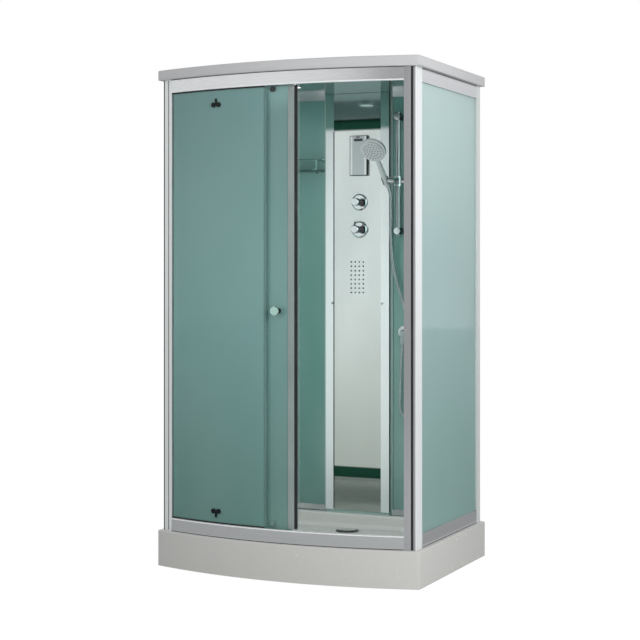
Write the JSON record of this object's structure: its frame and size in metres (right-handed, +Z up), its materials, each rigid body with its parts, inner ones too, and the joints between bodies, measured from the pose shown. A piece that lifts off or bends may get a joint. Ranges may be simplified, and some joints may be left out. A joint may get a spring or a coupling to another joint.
{
  "type": "shower cabin",
  "caption": "Free-standing glass shower cabin with a bowed front, one sliding door on rollers, a low tray, a roof with lamp and a fittings column with hand shower.",
  "frame": {"origin": "middle of the bounding box's underside, on the floor", "axes": "+X to the right seen from the front, +Y to the back, +Z up; the bowed front faces -Y"},
  "size_m": [1.2, 0.9, 2.12],
  "materials": {
    "acrylic": "glossy white cast acrylic",
    "roof_plastic": "satin white plastic",
    "ceiling": "glossy white sheet",
    "steel": "galvanised tube",
    "feet_plastic": "black moulded feet on zinc rods",
    "waste_plastic": "dark grey moulded plastic",
    "chrome": "chromed plastic",
    "chromed_brass": "polished chrome on brass",
    "aluminium": "brushed and clear anodised",
    "column_sheet": "folded sheet, painted behind",
    "polished_face": "polished like a mirror",
    "panel_plastic": "silver painted plastic",
    "display": "black window",
    "front_glass": "lightly tinted toughened glass",
    "side_pane": "lightly tinted toughened glass",
    "back_pane": "dark green backed glass",
    "shelf_pane": "toughened glass with ground edges",
    "clear_seal": "translucent grey vinyl",
    "black_rubber": "black rubber",
    "magnet": "black magnet strip",
    "black_fittings": "black glossy fittings",
    "wheel_plastic": "white acetal",
    "lamp_lens": "milky diffuser",
    "brass": "bare brass",
    "jet_rubber": "grey silicone",
    "white_plastic": "moulded plastic",
    "spray_plastic": "satin grey plastic",
    "hose_metal": "wound chromed steel strip"
  },
  "bodies": {
    "cabin": {"tray_shell": "acrylic", "subframe": "steel", "levelling_feet": "feet_plastic", "waste_body": "waste_plastic", "front_left_post": "aluminium", "front_right_post": "aluminium", "back_posts": "aluminium", "left_jamb": "aluminium", "right_jamb": "aluminium", "corner_gaskets": "black_rubber", "screws": "chromed_brass", "top_front_rail": "aluminium", "bottom_front_rail": "aluminium", "side_top_rails": "aluminium", "side_bottom_rails": "aluminium", "back_rails": "aluminium", "fixed_front_glass": "front_glass", "fixed_glass_clips": "black_fittings", "fixed_glass_seal": "clear_seal", "jamb_magnet": "magnet", "door_stops": "black_rubber", "side_glass": "side_pane", "back_glass": "back_pane", "roof_shell": "roof_plastic", "ceiling_panel": "ceiling", "lamp_ring": "chrome", "lamp_lens": "lamp_lens", "column_body": "column_sheet", "column_face": "polished_face", "column_strips": "aluminium", "control_panel": "panel_plastic", "display_window": "display", "valve_body": "brass", "valve_plates": "chrome", "jet_box": "white_plastic", "jet_nozzles": "jet_rubber", "riser_rail": "chromed_brass", "rail_mounts": "chrome", "shower_hose": "hose_metal", "hose_outlet": "chromed_brass", "shelf_glass": "shelf_pane", "shelf_brackets": "chromed_brass", "gallery_rail": "chromed_brass"},
    "door": {"door_glass": "front_glass", "door_left_seal": "clear_seal", "door_right_seal": "clear_seal", "door_magnet": "magnet", "door_knobs": "chrome", "roller_carriers": "black_fittings"},
    "top_left_wheel": {"top_left_wheel": "wheel_plastic"},
    "top_right_wheel": {"top_right_wheel": "wheel_plastic"},
    "bottom_left_wheel": {"bottom_left_wheel": "wheel_plastic"},
    "bottom_right_wheel": {"bottom_right_wheel": "wheel_plastic"},
    "upper_knob": {"upper_knob": "chrome"},
    "lower_knob": {"lower_knob": "chrome"},
    "slider": {"slider": "chrome"},
    "holder": {"holder": "chrome"},
    "hand_shower": {"hand_shower": "chrome"},
    "spray_face": {"spray_face": "spray_plastic"},
    "waste_cover": {"waste_cover": "chrome"}
  },
  "joints": [
    {"name": "door_slide", "type": "hinge", "parent": "cabin", "child": "door", "pos_m": [0, 1.49224, 1.1], "axis": [0, 0, 1], "range_deg": [0, 13.5]},
    {"name": "top_left_wheel_roll", "type": "hinge", "parent": "door", "child": "top_left_wheel", "pos_m": [-0.42817, -0.33911, 2.0489], "axis": [0.2277, 0.9737, 0], "continuous": true},
    {"name": "top_right_wheel_roll", "type": "hinge", "parent": "door", "child": "top_right_wheel", "pos_m": [-0.02509, -0.38833, 2.0489], "axis": [0.0133, 0.9999, 0], "continuous": true},
    {"name": "bottom_left_wheel_roll", "type": "hinge", "parent": "door", "child": "bottom_left_wheel", "pos_m": [-0.42817, -0.33911, 0.1994], "axis": [0.2277, 0.9737, 0], "continuous": true},
    {"name": "bottom_right_wheel_roll", "type": "hinge", "parent": "door", "child": "bottom_right_wheel", "pos_m": [-0.02509, -0.38833, 0.1994], "axis": [0.0133, 0.9999, 0], "continuous": true},
    {"name": "upper_knob_turn", "type": "hinge", "parent": "cabin", "child": "upper_knob", "pos_m": [0.012, 0.3996, 1.575], "axis": [0, -1, 0], "range_deg": [-90, 90]},
    {"name": "lower_knob_turn", "type": "hinge", "parent": "cabin", "child": "lower_knob", "pos_m": [0.012, 0.3996, 1.45], "axis": [0, -1, 0], "range_deg": [-120, 120]},
    {"name": "slider_lift", "type": "slide", "parent": "cabin", "child": "slider", "axis": [0, 0, 1], "range_m": [-0.18, 0.14], "deforming": ["shower_hose"]},
    {"name": "holder_tilt", "type": "hinge", "parent": "slider", "child": "holder", "pos_m": [0.18, 0.312, 1.665], "axis": [1, 0, 0], "range_deg": [-10, 30]},
    {"name": "hand_shower_lift", "type": "slide", "parent": "holder", "child": "hand_shower", "axis": [0, -0.7314, 0.682], "range_m": [0, 0.06]},
    {"name": "spray_face_turn", "type": "hinge", "parent": "hand_shower", "child": "spray_face", "pos_m": [0.18, 0.17304, 1.79458], "axis": [0, -0.766, -0.6428], "range_deg": [-60, 60]},
    {"name": "waste_cover_lift", "type": "slide", "parent": "cabin", "child": "waste_cover", "axis": [0, 0, 1], "range_m": [0, 0.04]}
  ],
  "couplings": [
    {"joint": "top_left_wheel_roll", "follows": "door_slide", "ratio": 208.97},
    {"joint": "top_right_wheel_roll", "follows": "door_slide", "ratio": 208.97},
    {"joint": "bottom_left_wheel_roll", "follows": "door_slide", "ratio": 208.97},
    {"joint": "bottom_right_wheel_roll", "follows": "door_slide", "ratio": 208.97}
  ]
}
